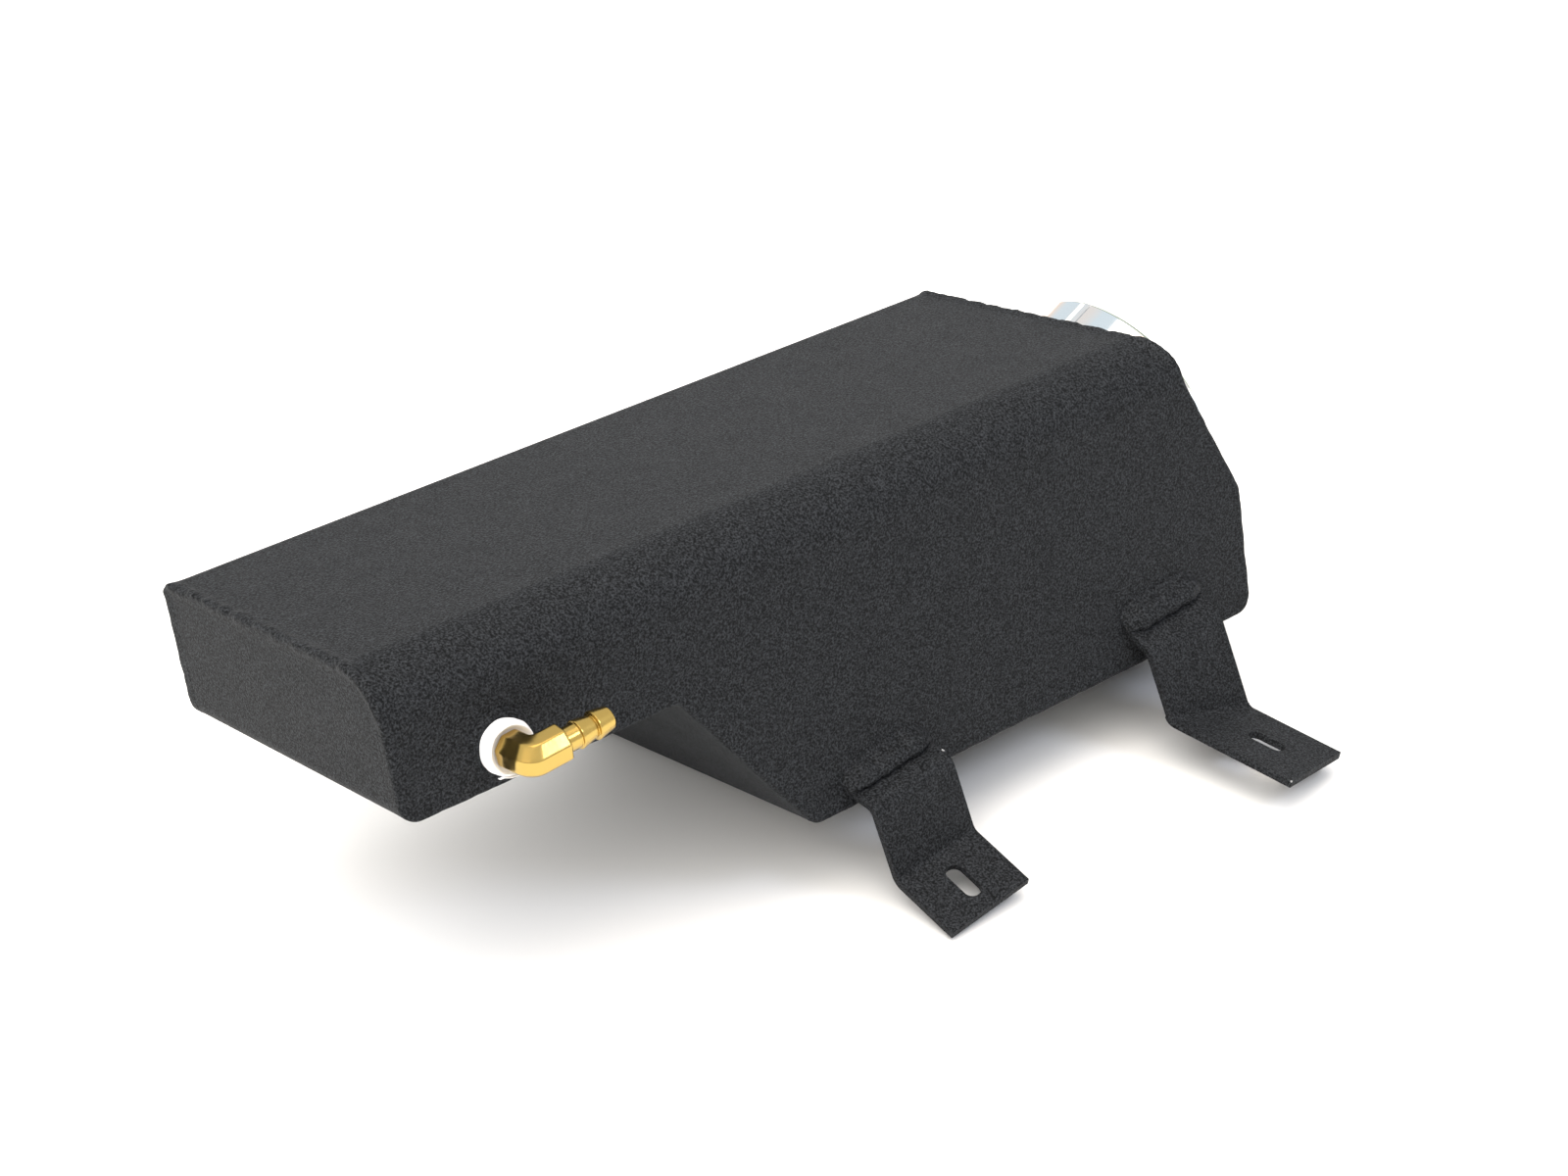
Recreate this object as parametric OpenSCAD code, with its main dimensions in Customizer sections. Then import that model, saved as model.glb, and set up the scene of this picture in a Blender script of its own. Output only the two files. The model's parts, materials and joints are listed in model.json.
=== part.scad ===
// Coolant expansion tank, fabricated from folded sheet, with strap brackets, hose elbow and screw cap.
// X runs along the tank to the filler end, Y across it away from the brackets, Z up out of the flat top.
// The origin is the bolt seat of the near bracket: the centre of its slot, on the foot's underside.

/* [Tank] */
// Width across the tank, over both side walls
tank_w = 140; // [120:1:180]
// Length of the flat top, from the near plate to the sloping filler face
top_l = 340; // [300:1:420]
// Length that the sloping filler face takes beyond the flat top
face_l = 30.5; // [20:0.5:45]
// Depth of the shallow end
shallow_h = 51.5; // [51.1:0.1:66]
// Depth of the deep end
deep_h = 116.8; // [116.5:0.1:150]
// Distance from the near plate to the top of the belly slope
slope_x = 107.4; // [85:0.1:125]
// Length that the belly slope takes along the tank
slope_l = 46.5; // [35:0.5:58]
// Height of the sloping filler face
face_h = 66.7; // [66:0.1:80]

/* [Sheet] */
// Thickness of the tank sheet
sheet_t = 3.2; // [2:0.1:3.4]
// Outer radius of the wrap's fold on the bracket side
wide_fold_r = 19.7; // [12:0.1:24]
// Outer radius of the wrap's fold on the far side
tight_fold_r = 8.4; // [6:0.1:20]
// Inner radius of the belly strip's folds
belly_fold_r = 4; // [3:0.1:6]
// Height that the seam beads stand proud of the sheets
bead_proud = 1.2; // [0.4:0.1:1.6]

/* [Filler] */
// Distance from the top edge down the sloping face to the filler's centre
filler_down = 43.6; // [42:0.1:43.8]
// Distance of the filler's centre from the bracket-side wall
filler_y = 60; // [55:0.1:75]
// Outside diameter of the weld-in filler neck
neck_d = 50; // [46:0.1:50]
// Bore of the filler neck
neck_bore_d = 41; // [36:0.1:42]
// Height of the neck's rim above the sloping face
neck_h = 3.5; // [3:0.1:6]
// Length of the neck inside the tank
neck_inside = 5; // [2:0.5:10]
// Outside diameter of the cap
cap_d = 78.4; // [70:0.1:80]
// Thickness of the cap's head
cap_h = 11.9; // [10:0.1:18]
// Length of the cap's screwed spigot below the neck's rim
spigot_l = 9; // [7:0.5:12]
// Chamfer round the cap's outer rim
cap_chamfer = 1.2; // [0.4:0.1:2]
// Number of grip flutes round the cap
flute_count = 6; // [3:1:12]
// Radius of a grip flute
flute_r = 3.6; // [2.5:0.1:5]
// Depth of a grip flute
flute_depth = 1.2; // [0.5:0.1:2]
// Angle of the first flute round the cap
flute_start = 4.3; // [0:0.1:60]
// Diameter of the cap's breather hole
breather_d = 2; // [1.5:0.1:3]
// Thickness of the flat cap gasket
gasket_t = 2; // [1.5:0.1:3]

/* [Hose fitting] */
// Distance of the hose fitting from the near plate
fitting_x = 39.4; // [34:0.1:60]
// Distance of the hose fitting below the flat top
fitting_down = 38.2; // [36:0.1:38.3]
// Outside diameter of the pipe bung's collar
bung_collar_d = 22.4; // [21:0.1:23]
// Height of the pipe bung's collar outside the wall
bung_out = 1.5; // [1.2:0.1:4]
// Outside diameter of the pipe bung in the wall
bung_d = 18.8; // [18.4:0.1:18.9]
// Length of the pipe bung inside the wall
bung_in = 7; // [4:0.1:12]
// Outside diameter of the elbow's screwed shank
shank_d = 16.2; // [15.6:0.1:16.6]
// Outside diameter of the bunched sealing tape
tape_d = 18.2; // [17.6:0.1:19]
// Length of the tape outside the bung
tape_l = 6.5; // [3:0.1:7]
// Distance of the elbow's bend from the wall
elbow_out = 17.3; // [16.5:0.1:22]
// Angle that the hose tail turns up from the tank's length
tail_up = 4; // [-10:1:30]
// Width of the elbow's body across its flats
elbow_af = 12.6; // [11:0.1:12.8]
// Distance from the elbow's bend to the end of its body
elbow_leg = 11.6; // [10.5:0.1:18]
// Diameter of the elbow's waterway
waterway_d = 5.6; // [4.5:0.1:6]
// Largest diameter of the hose barbs
barb_d = 10; // [9.4:0.1:10.6]
// Diameter of the hose tail at the foot of each barb
tail_d = 7.7; // [7.2:0.1:8.2]
// Diameter of the hose tail's neck, between the body and the first barb
tail_neck_d = 8.4; // [7.8:0.1:9]
// Length of the hose tail's neck
tail_neck_l = 5.4; // [1:0.1:8]
// Length of one barb
barb_pitch = 6.7; // [4:0.1:8]
// Number of barbs on the hose tail
barb_count = 2; // [1:1:4]

/* [Brackets] */
// Width of the strap
strap_w = 37; // [30:0.5:42]
// Thickness of the strap
strap_t = 2.8; // [2:0.1:3.2]
// Inner radius of the strap's bends
strap_bend_r = 3; // [2:0.1:4]
// Width of the bolt slots
slot_w = 6.8; // [5:0.1:9]
// Length of the bolt slots, end to end
slot_l = 15; // [11:0.1:18]
// Near bracket: distance of its weld from the near plate
near_x = 169; // [166:0.5:185]
// Near bracket: distance of its weld below the flat top
near_down = 109.2; // [90:0.1:109.2]
// Near bracket: length of the flange from the wall to the first fold's corner
near_flange_l = 14; // [12:0.1:18]
// Near bracket: length of the leg between the folds' corners
near_leg_l = 30.8; // [26:0.1:36]
// Near bracket: length of the foot from the second fold's corner
near_foot_l = 27.5; // [26:0.1:34]
// Near bracket: slope of the flange, out from the wall's own line
near_flange_slope = 76.5; // [70:0.1:80]
// Near bracket: slope of the leg, out from the wall's own line
near_leg_slope = 3.6; // [0:0.1:10]
// Near bracket: slope of the foot, out from the wall's own line
near_foot_slope = 61.4; // [50:0.1:70]
// Near bracket: distance of the slot's centre from the foot's bend
near_slot_at = 13.6; // [13:0.1:16]
// Near bracket: tilt of the strap along the wall
near_tilt = 8; // [0:0.5:12]
// Far bracket: distance of its weld from the near plate
far_x = 304.9; // [290:0.1:318]
// Far bracket: distance of its weld below the flat top
far_down = 99.3; // [85:0.1:105]
// Far bracket: length of the flange from the wall to the first fold's corner
far_flange_l = 14.7; // [12:0.1:18]
// Far bracket: length of the leg between the folds' corners
far_leg_l = 32.8; // [28:0.1:38]
// Far bracket: length of the foot from the second fold's corner
far_foot_l = 46.2; // [44:0.1:52]
// Far bracket: slope of the flange, out from the wall's own line
far_flange_slope = 55.8; // [45:0.1:70]
// Far bracket: slope of the leg, out from the wall's own line
far_leg_slope = 11.4; // [5:0.1:18]
// Far bracket: slope of the foot, out from the wall's own line
far_foot_slope = 75.9; // [65:0.1:80]
// Far bracket: distance of the slot's centre from the foot's bend
far_slot_at = 24.7; // [20:0.1:32]
// Far bracket: tilt of the strap along the wall
far_tilt = 4.3; // [0:0.1:12]
// Far bracket: skew of the foot's bend across the strap
far_skew = 18; // [0:1:20]
// Size of the weld along a bracket's root
strap_bead_r = 4.6; // [3:0.1:6]

/* [Hidden] */
$fn = 96;

// Clearance of one turned piece in another
fit_gap = 0.05;
// Clearance of a welded-in piece in its hole
hole_gap = 0.1;
// Overlap of a cutting tool past the face that it cuts
past = 1;
// Fold arcs are this much larger than the tangent ones, so that they cross the flats at a clean line
crease = 0.004;
// Pieces of one solid that lap differ by this much, so that no two faces nearly coincide
lap_step = 0.005;

belly_out_r = belly_fold_r + sheet_t;
bead_r = sheet_t + bead_proud;
tank_l = top_l + face_l;
// Outer line of the belly strip, and the radius of each fold on that side
belly_path = [[0, -sheet_t], [0, -shallow_h], [slope_x, -shallow_h], [slope_x + slope_l, -deep_h],
  [tank_l, -deep_h], [tank_l, -face_h], [top_l, 0]];
belly_radii = [belly_out_r, belly_fold_r, belly_out_r, belly_out_r, belly_out_r];
// Outer line of the wrap sheet seen from the near end, and the radii of its folds
wrap_path = [[tank_w, -deep_h - past], [tank_w, 0], [0, 0], [0, -deep_h - past]];
wrap_radii = [tight_fold_r, wide_fold_r];

// Slope of the filler face back from upright
face_lean = atan2(face_l, face_h);
filler_x = top_l + filler_down * sin(face_lean);
filler_z = -filler_down * cos(face_lean);

// The gasket stays this far inside the neck's rim, at its bore and at its outside
gasket_in = 0.6;
gasket_short = 0.4;
gasket_r_in = neck_bore_d / 2 + gasket_in;
gasket_r_out = neck_d / 2 - gasket_short;
// Clearance of the turning cap above the gasket
seal_gap = 0.05;
// The cap's underside stands clear of the neck's weld, and its recess is wider than the gasket
cap_clear = 0.3;
recess_gap = 0.5;
spigot_r = neck_bore_d / 2 - fit_gap;
spigot_wall = 3;
// Welds stop this far short of the rim that they stand against
weld_short = 0.5;

// Half of the angle between two corners of an octagon
half_side = 360 / 8 / 2;
// Metal left between the elbow's bend and its inner corner
throat = 0.4;

strap_out_r = strap_bend_r + strap_t;
near_legs = [near_flange_l, near_leg_l, near_foot_l];
near_slopes = [near_flange_slope, near_leg_slope, near_foot_slope];
far_legs = [far_flange_l, far_leg_l, far_foot_l];
far_slopes = [far_flange_slope, far_leg_slope, far_foot_slope];

// Way from a bracket's weld to the slot's centre on the foot's underside, out of the wall and down it
seat_out = near_legs[0] * sin(near_slopes[0]) + near_legs[1] * sin(near_slopes[1])
  + near_slot_at * sin(near_slopes[2]) - strap_t * cos(near_slopes[2]);
seat_down = near_legs[0] * cos(near_slopes[0]) + near_legs[1] * cos(near_slopes[1])
  + near_slot_at * cos(near_slopes[2]) + strap_t * sin(near_slopes[2]);
datum = [
  near_x + strap_w / 2 * cos(near_tilt) + seat_down * sin(near_tilt),
  -seat_out,
  -near_down + strap_w / 2 * sin(near_tilt) - seat_down * cos(near_tilt)
];

function along(a, d) = [d * cos(a), d * sin(a)];
function wrapped(a) = a > 180 ? a - 360 : a < -180 ? a + 360 : a;
// Direction of leg i of a path, and its turn at point i, positive to the left
function heading(p, i) = atan2(p[i + 1][1] - p[i][1], p[i + 1][0] - p[i][0]);
function turn_at(p, i) = wrapped(heading(p, i) - heading(p, i - 1));
// Point i of a path that is moved to its left by d
function moved(p, i, d) =
  i == 0 ? p[0] + along(heading(p, 0) + 90, d) :
  i == len(p) - 1 ? p[i] + along(heading(p, i - 1) + 90, d) :
  p[i] + along(heading(p, i - 1) + 90 + turn_at(p, i) / 2, d / cos(turn_at(p, i) / 2));
function moved_path(p, d) = [for (i = [0 : len(p) - 1]) moved(p, i, d)];
function reversed(p) = [for (i = [len(p) - 1 : -1 : 0]) p[i]];

// Piece between the sharp corner i of a path moved left by d and the fold's arc, carried `over` past the corner.
// The radius r is the fold's on the path itself.
module corner_piece(p, i, r, d, over) {
  turn = turn_at(p, i);
  side = turn > 0 ? 90 : -90;
  arc = turn > 0 ? r - d : r + d;
  middle = heading(p, i - 1) + turn / 2 - side;
  spread = abs(turn) / 2;
  centre = moved(p, i, d) - along(middle, arc / cos(spread));
  if (arc > 0)
    translate(centre) difference() {
      polygon([[0, 0], along(middle - spread, arc + over), along(middle, (arc + over) / cos(spread)),
        along(middle + spread, arc + over)]);
      circle(arc + crease);
    }
}

// Section of a sheet folded along a path, its thickness t to the left of it
module folded_profile(p, radii, t) {
  folds = [1 : len(p) - 2];
  difference() {
    union() {
      polygon(concat(p, reversed(moved_path(p, t))));
      for (i = folds)
        corner_piece(p, i, radii[i - 1], turn_at(p, i) > 0 ? t : 0, t / 2);
    }
    for (i = folds)
      corner_piece(p, i, radii[i - 1], turn_at(p, i) > 0 ? 0 : t, past);
  }
}

// Area to the left of a folded sheet, closed straight between its two ends carried on by past
module inside_profile(p, radii, t) {
  last = len(p) - 1;
  folds = [1 : last - 1];
  ends = [moved(p, 0, t) - along(heading(p, 0), past + t), moved(p, last, t) + along(heading(p, last - 1), past + t)];
  difference() {
    union() {
      polygon(concat([ends[0]], [for (i = folds) moved(p, i, t)], [ends[1]]));
      for (i = folds)
        if (turn_at(p, i) < 0)
          corner_piece(p, i, radii[i - 1], t, t / 2);
    }
    for (i = folds)
      if (turn_at(p, i) > 0)
        corner_piece(p, i, radii[i - 1], t, past);
  }
}

// Stands a side view up along the tank, from y = from to y = to
module side_slab(from, to) {
  translate([0, to, 0]) rotate([90, 0, 0]) linear_extrude(to - from) children();
}

// Runs an end view along the tank
module end_slab(length) {
  rotate([90, 0, 90]) linear_extrude(length) children();
}

module in_filler_frame() {
  translate([filler_x, filler_y, filler_z]) rotate([0, 90 - face_lean, 0]) children();
}

module in_fitting_frame() {
  translate([fitting_x, 0, -fitting_down]) rotate([90, 0, 0]) children();
}

module tank_place() {
  translate(-datum) children();
}

coat = "#2b2a2b";
brass = "#c9a24a";

module wrap_sheet() {
  color(coat) tank_place() difference() {
    intersection() {
      end_slab(tank_l) folded_profile(wrap_path, wrap_radii, sheet_t);
      side_slab(-past, tank_w + past) inside_profile(belly_path, belly_radii, sheet_t);
    }
    in_fitting_frame() translate([0, 0, -sheet_t - past])
      cylinder(r = bung_d / 2 + hole_gap, h = sheet_t + 2 * past);
  }
}

module belly_strip() {
  color(coat) tank_place() difference() {
    intersection() {
      side_slab(sheet_t, tank_w - sheet_t) folded_profile(belly_path, belly_radii, sheet_t);
      end_slab(tank_l + past) inside_profile(wrap_path, wrap_radii, sheet_t);
    }
    in_filler_frame() translate([0, 0, -sheet_t - past])
      cylinder(r = neck_d / 2 + hole_gap, h = sheet_t + 2 * past);
  }
}

// Bead in the open corner above the near plate, straight between the folds and round both of them
module near_seam_weld() {
  color(coat) tank_place() {
    translate([sheet_t, wide_fold_r, -sheet_t]) rotate([-90, 180, 0])
      linear_extrude(tank_w - wide_fold_r - tight_fold_r) bead_quarter();
    translate([sheet_t, wide_fold_r, -wide_fold_r]) rotate([0, -90, 0]) rotate([0, 0, -90])
      rotate_extrude(angle = 90) translate([wide_fold_r - sheet_t, 0]) bead_quarter();
    translate([sheet_t, tank_w - tight_fold_r, -tight_fold_r]) rotate([0, -90, 0])
      rotate_extrude(angle = 90) translate([tight_fold_r - sheet_t, 0]) bead_quarter();
  }
}

module bead_quarter() {
  intersection() {
    circle(bead_r);
    square(bead_r + past);
  }
}

// Bead where the flat top and its folds meet the sloping filler face
module far_seam_weld() {
  reach = face_h + wide_fold_r;
  color(coat) tank_place() intersection() {
    end_slab(tank_l) folded_profile(wrap_path, wrap_radii, sheet_t);
    translate([top_l, 0, 0]) rotate([0, -90 - face_lean, 0])
      translate([-reach, -past, 0]) cube([reach + wide_fold_r, tank_w + 2 * past, sheet_t]);
    union() {
      translate([0, -past, -wide_fold_r]) cube([tank_l, tank_w / 2, wide_fold_r + past]);
      translate([0, tank_w / 4, -tight_fold_r]) cube([tank_l, tank_w, tight_fold_r + past]);
    }
  }
}

// Bead in the open corner along the belly strip's edge, up to the height of the wrap's fold
module side_seam(fold_r) {
  inner = moved_path(belly_path, sheet_t);
  outer = moved_path(belly_path, -bead_proud);
  radii = [for (i = [1 : len(belly_radii)])
    belly_radii[i - 1] + (turn_at(belly_path, i) > 0 ? bead_proud : -bead_proud)];
  room = bead_proud + past;
  intersection() {
    side_slab(-bead_proud, sheet_t) folded_profile(outer, radii, bead_r);
    for (i = [0 : len(inner) - 2])
      translate([inner[i][0], sheet_t, inner[i][1]]) rotate([0, 90 - heading(inner, i), 0])
        translate([0, 0, -sheet_t]) cylinder(r = bead_r, h = norm(inner[i + 1] - inner[i]) + 2 * sheet_t);
    translate([-room, -room, -deep_h - room]) cube([tank_l + 2 * room, tank_w, deep_h + room - fold_r]);
  }
}

module right_seam_weld() {
  color(coat) tank_place() difference() {
    side_seam(wide_fold_r);
    in_fitting_frame() translate([0, 0, -sheet_t - past])
      cylinder(r = bung_collar_d / 2 + bung_out - weld_short + hole_gap, h = 2 * sheet_t + bead_proud + past);
  }
}

module left_seam_weld() {
  color(coat) tank_place() translate([0, tank_w, 0]) mirror([0, 1, 0]) side_seam(tight_fold_r);
}

module filler_neck() {
  color(coat) tank_place() in_filler_frame() difference() {
    translate([0, 0, -sheet_t - neck_inside]) cylinder(d = neck_d, h = neck_h + sheet_t + neck_inside);
    translate([0, 0, -sheet_t - neck_inside - past])
      cylinder(d = neck_bore_d, h = neck_h + sheet_t + neck_inside + 2 * past);
  }
}

// Ring of weld between an upright round wall and the flat sheet that it stands on
module ring_weld(r, leg) {
  rotate_extrude() translate([r, 0]) intersection() {
    square(leg);
    circle(leg);
  }
}

module filler_neck_weld() {
  color(coat) tank_place() in_filler_frame() ring_weld(neck_d / 2, min(neck_h - weld_short, sheet_t - weld_short));
}

module cap_gasket() {
  color("#1b1b1c") tank_place() in_filler_frame() translate([0, 0, neck_h]) difference() {
    cylinder(r = gasket_r_out, h = gasket_t);
    translate([0, 0, -past]) cylinder(r = gasket_r_in, h = gasket_t + 2 * past);
  }
}

module filler_cap() {
  r = cap_d / 2;
  under = neck_h + cap_clear;
  head = under + cap_h;
  seat = neck_h + gasket_t + seal_gap;
  recess_r = gasket_r_out + recess_gap;
  bottom = neck_h - spigot_l;
  color("#d9dadc") tank_place() in_filler_frame() difference() {
    union() {
      rotate_extrude() polygon([[0, seat], [recess_r, seat], [recess_r, under],
        [r - cap_chamfer / 2, under], [r, under + cap_chamfer / 2], [r, head - cap_chamfer],
        [r - cap_chamfer, head], [0, head]]);
      translate([0, 0, bottom]) cylinder(r = spigot_r, h = spigot_l + gasket_t + past);
    }
    for (i = [0 : flute_count - 1])
      rotate([0, 0, flute_start + 360 * i / flute_count]) translate([r + flute_r - flute_depth, 0, under - past])
        cylinder(r = flute_r, h = head - under + 2 * past);
    translate([0, 0, bottom - past]) cylinder(r = spigot_r - spigot_wall, h = spigot_l);
    translate([0, 0, bottom]) cylinder(d = breather_d, h = head - bottom + past);
  }
}

module pipe_bung() {
  color(coat) tank_place() in_fitting_frame() difference() {
    union() {
      translate([0, 0, -sheet_t - bung_in]) cylinder(d = bung_d, h = sheet_t + bung_in + bung_out / 2);
      cylinder(d = bung_collar_d, h = bung_out);
    }
    translate([0, 0, -sheet_t - bung_in - past])
      cylinder(r = shank_d / 2 + fit_gap, h = bung_out + sheet_t + bung_in + 2 * past);
  }
}

module pipe_bung_weld() {
  color(coat) tank_place() in_fitting_frame() ring_weld(bung_collar_d / 2, bung_out - weld_short);
}

module sealing_tape() {
  r_in = shank_d / 2 + fit_gap;
  r_out = tape_d / 2;
  lip = (r_out - r_in) / 2;
  color("white") tank_place() in_fitting_frame() translate([0, 0, bung_out])
    rotate_extrude() polygon([[r_in, 0], [r_out - lip, 0], [r_out, 2 * lip], [r_out, tape_l - 2 * lip],
      [r_out - lip, tape_l], [r_in, tape_l]]);
}

// Octagon with flats across x and y
module elbow_section(across) {
  rotate(half_side) circle(d = across / cos(half_side), $fn = 8);
}

// Half section of the barbed tail, each barb steep on the body's side
module tail_profile() {
  step = 0.5;
  barbs = [for (i = [0 : barb_count - 1]) each [
    [barb_d / 2, tail_neck_l + i * barb_pitch], [barb_d / 2, tail_neck_l + i * barb_pitch + step],
    [tail_d / 2, tail_neck_l + (i + 1) * barb_pitch]]];
  polygon(concat([[0, -past], [tail_neck_d / 2, -past], [tail_neck_d / 2, tail_neck_l]], barbs,
    [[0, tail_neck_l + barb_count * barb_pitch]]));
}

// Bend that is mitred by two cuts: three sides of an octagon, of which the outer two are half hidden in the legs
module mitred_bend(bend_r) {
  rotate([90, 0, 180]) rotate([0, 0, -half_side]) rotate_extrude(angle = 90 + 2 * half_side, $fn = 8)
    translate([bend_r / cos(half_side), 0]) scale([1 / cos(half_side), 1]) elbow_section(elbow_af);
}

module hose_elbow() {
  bend_r = elbow_af / 2 + throat;
  body_in = bung_out + tape_l;
  shank_in = sheet_t + bung_in / 2;
  leg_af = elbow_af - 4 * lap_step;
  color(brass) tank_place() in_fitting_frame() rotate([0, 0, tail_up]) difference() {
    union() {
      translate([0, 0, -shank_in]) cylinder(d = shank_d, h = body_in + shank_in + past);
      intersection() {
        union() {
          translate([0, 0, body_in])
            linear_extrude(elbow_out - bend_r - body_in + past) elbow_section(leg_af);
          translate([bend_r, 0, elbow_out - bend_r]) mitred_bend(bend_r);
          translate([bend_r - past, 0, elbow_out]) rotate([0, 90, 0])
            linear_extrude(elbow_leg - bend_r + past) elbow_section(leg_af);
        }
        translate([-elbow_af, -elbow_af, body_in]) cube([elbow_af + elbow_leg, 2 * elbow_af, elbow_out + elbow_af]);
      }
      translate([elbow_leg, 0, elbow_out]) rotate([0, 90, 0]) rotate_extrude() tail_profile();
    }
    translate([0, 0, -shank_in - past]) cylinder(d = waterway_d, h = elbow_out + shank_in + past);
    translate([0, 0, elbow_out]) rotate([0, 90, 0])
      cylinder(d = waterway_d, h = elbow_leg + tail_neck_l + (barb_count + 1) * barb_pitch);
  }
}

// Runs a side view of the strap across it: the view's x is down the strap, its y out of the front face
module strap_slab(wide) {
  translate([-wide / 2, 0, 0]) rotate([90, 0, 90]) linear_extrude(wide) children();
}

// Folded strap in its leg's frame: x across, y down the leg from the first fold's corner, z out of the front face
module strap(legs, slopes, slot_at, skew) {
  back = slopes[0] - slopes[1];
  forward = slopes[2] - slopes[1];
  near = -legs[0] - 2 * strap_t;
  slip = strap_w / 2 * tan(skew);
  half = strap_w / 2;
  foot_half = half - lap_step;
  long = legs[2] + strap_w;
  mid = legs[1] / 2;
  top = strap_bend_r * (1 - cos(forward / 2)) + strap_t / 4;
  deep = strap_t + past;
  strap_slab(strap_w)
    folded_profile([[mid, 0], [0, 0], near * [cos(back), sin(back)]], [strap_out_r], strap_t);
  intersection() {
    translate([0, legs[1], -lap_step]) rotate([0, 0, -skew]) strap_slab(2 * strap_w)
      folded_profile([long * [cos(forward), sin(forward)], [0, 0], [-legs[1] - strap_w, 0]], [strap_bend_r], strap_t);
    union() {
      translate([0, 0, -deep]) linear_extrude(deep + top)
        polygon([[-half, mid - strap_t], [half, mid - strap_t], [half, legs[1] - slip + strap_t],
          [-half, legs[1] + slip + strap_t]]);
      in_foot_frame(legs[1], forward, skew) translate([0, 0, -deep]) linear_extrude(deep + top)
        polygon([[-foot_half, slip - strap_t], [foot_half, -slip - strap_t], [foot_half, legs[2]],
          [-foot_half, legs[2]]]);
    }
  }
}

module in_foot_frame(leg, forward, skew) {
  translate([0, leg, 0]) rotate([0, 0, -skew]) rotate([forward, 0, 0]) rotate([0, 0, skew]) children();
}

module slot_cutter(at) {
  spread = (slot_l - slot_w) / 2;
  translate([0, at, -strap_t - past]) {
    for (s = [-1, 1])
      translate([0, s * spread, 0]) cylinder(d = slot_w, h = strap_t + 2 * past);
    translate([-slot_w / 2, -spread, 0]) cube([slot_w, 2 * spread, strap_t + 2 * past]);
  }
}

module in_bracket_frame(x, down, tilt) {
  translate([x, 0, -down]) rotate([0, -tilt, 0]) children();
}

module bracket(x, down, legs, slopes, slot_at, tilt, skew) {
  reach = 4 * strap_w;
  in_bracket_frame(x, down, tilt) intersection() {
    translate([strap_w / 2, -legs[0] * sin(slopes[0]), -legs[0] * cos(slopes[0])])
      rotate([0, 0, 180]) rotate([slopes[1] - 90, 0, 0]) difference() {
        strap(legs, slopes, slot_at, skew);
        in_foot_frame(legs[1], slopes[2] - slopes[1], skew) slot_cutter(slot_at);
      }
    translate([-strap_w, -reach, -reach]) cube([3 * strap_w, reach, 2 * reach]);
  }
}

// Weld on top of a bracket's flange, round between the wall and the flange
module root_weld(x, down, tilt, slope) {
  edge = 2 * strap_bead_r;
  in_bracket_frame(x, down, tilt) rotate([90, 0, 90]) linear_extrude(strap_w) intersection() {
    circle(strap_bead_r);
    polygon([[0, 0], [-edge * sin(slope), -edge * cos(slope)], [-edge, edge], [0, edge]]);
  }
}

module near_bracket() {
  color(coat) tank_place() bracket(near_x, near_down, near_legs, near_slopes, near_slot_at, near_tilt, 0);
}

module near_bracket_weld() {
  color(coat) tank_place() root_weld(near_x, near_down, near_tilt, near_slopes[0]);
}

module far_bracket() {
  color(coat) tank_place() bracket(far_x, far_down, far_legs, far_slopes, far_slot_at, far_tilt, far_skew);
}

module far_bracket_weld() {
  color(coat) tank_place() root_weld(far_x, far_down, far_tilt, far_slopes[0]);
}

wrap_sheet();
belly_strip();
near_seam_weld();
far_seam_weld();
right_seam_weld();
left_seam_weld();
filler_neck();
filler_neck_weld();
cap_gasket();
filler_cap();
pipe_bung();
pipe_bung_weld();
sealing_tape();
hose_elbow();
near_bracket();
near_bracket_weld();
far_bracket();
far_bracket_weld();
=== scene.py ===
"""Looks of a folded and welded coolant expansion tank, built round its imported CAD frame."""

import json
import math

import bpy
import numpy as np
from bpy.props import FloatProperty, FloatVectorProperty, IntProperty, PointerProperty
from mathutils import Matrix, Vector


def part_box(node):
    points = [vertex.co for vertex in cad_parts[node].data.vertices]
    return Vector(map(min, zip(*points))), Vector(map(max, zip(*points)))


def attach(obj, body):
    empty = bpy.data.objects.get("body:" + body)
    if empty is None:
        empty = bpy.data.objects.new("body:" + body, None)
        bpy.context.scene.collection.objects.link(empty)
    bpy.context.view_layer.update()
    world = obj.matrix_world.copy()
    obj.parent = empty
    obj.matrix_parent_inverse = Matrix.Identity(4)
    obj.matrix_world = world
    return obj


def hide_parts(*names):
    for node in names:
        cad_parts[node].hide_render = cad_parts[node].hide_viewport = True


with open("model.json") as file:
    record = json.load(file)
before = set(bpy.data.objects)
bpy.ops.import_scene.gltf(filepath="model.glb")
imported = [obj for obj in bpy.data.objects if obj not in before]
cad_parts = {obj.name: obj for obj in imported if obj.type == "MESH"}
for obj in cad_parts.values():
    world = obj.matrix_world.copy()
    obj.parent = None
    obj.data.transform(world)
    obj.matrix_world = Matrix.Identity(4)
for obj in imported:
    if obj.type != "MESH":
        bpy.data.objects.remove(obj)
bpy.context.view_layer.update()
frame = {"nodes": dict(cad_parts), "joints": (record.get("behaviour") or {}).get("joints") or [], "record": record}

bl_info = {
    "name": "Coolant expansion tank",
    "version": (1, 0, 0),
    "blender": (4, 5, 0),
    "location": "View3D > Sidebar > Tank",
    "description": "Beads, brass elbow, tape, cap and finishes for a welded expansion tank",
    "category": "Object",
}

MM = 0.001

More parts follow.
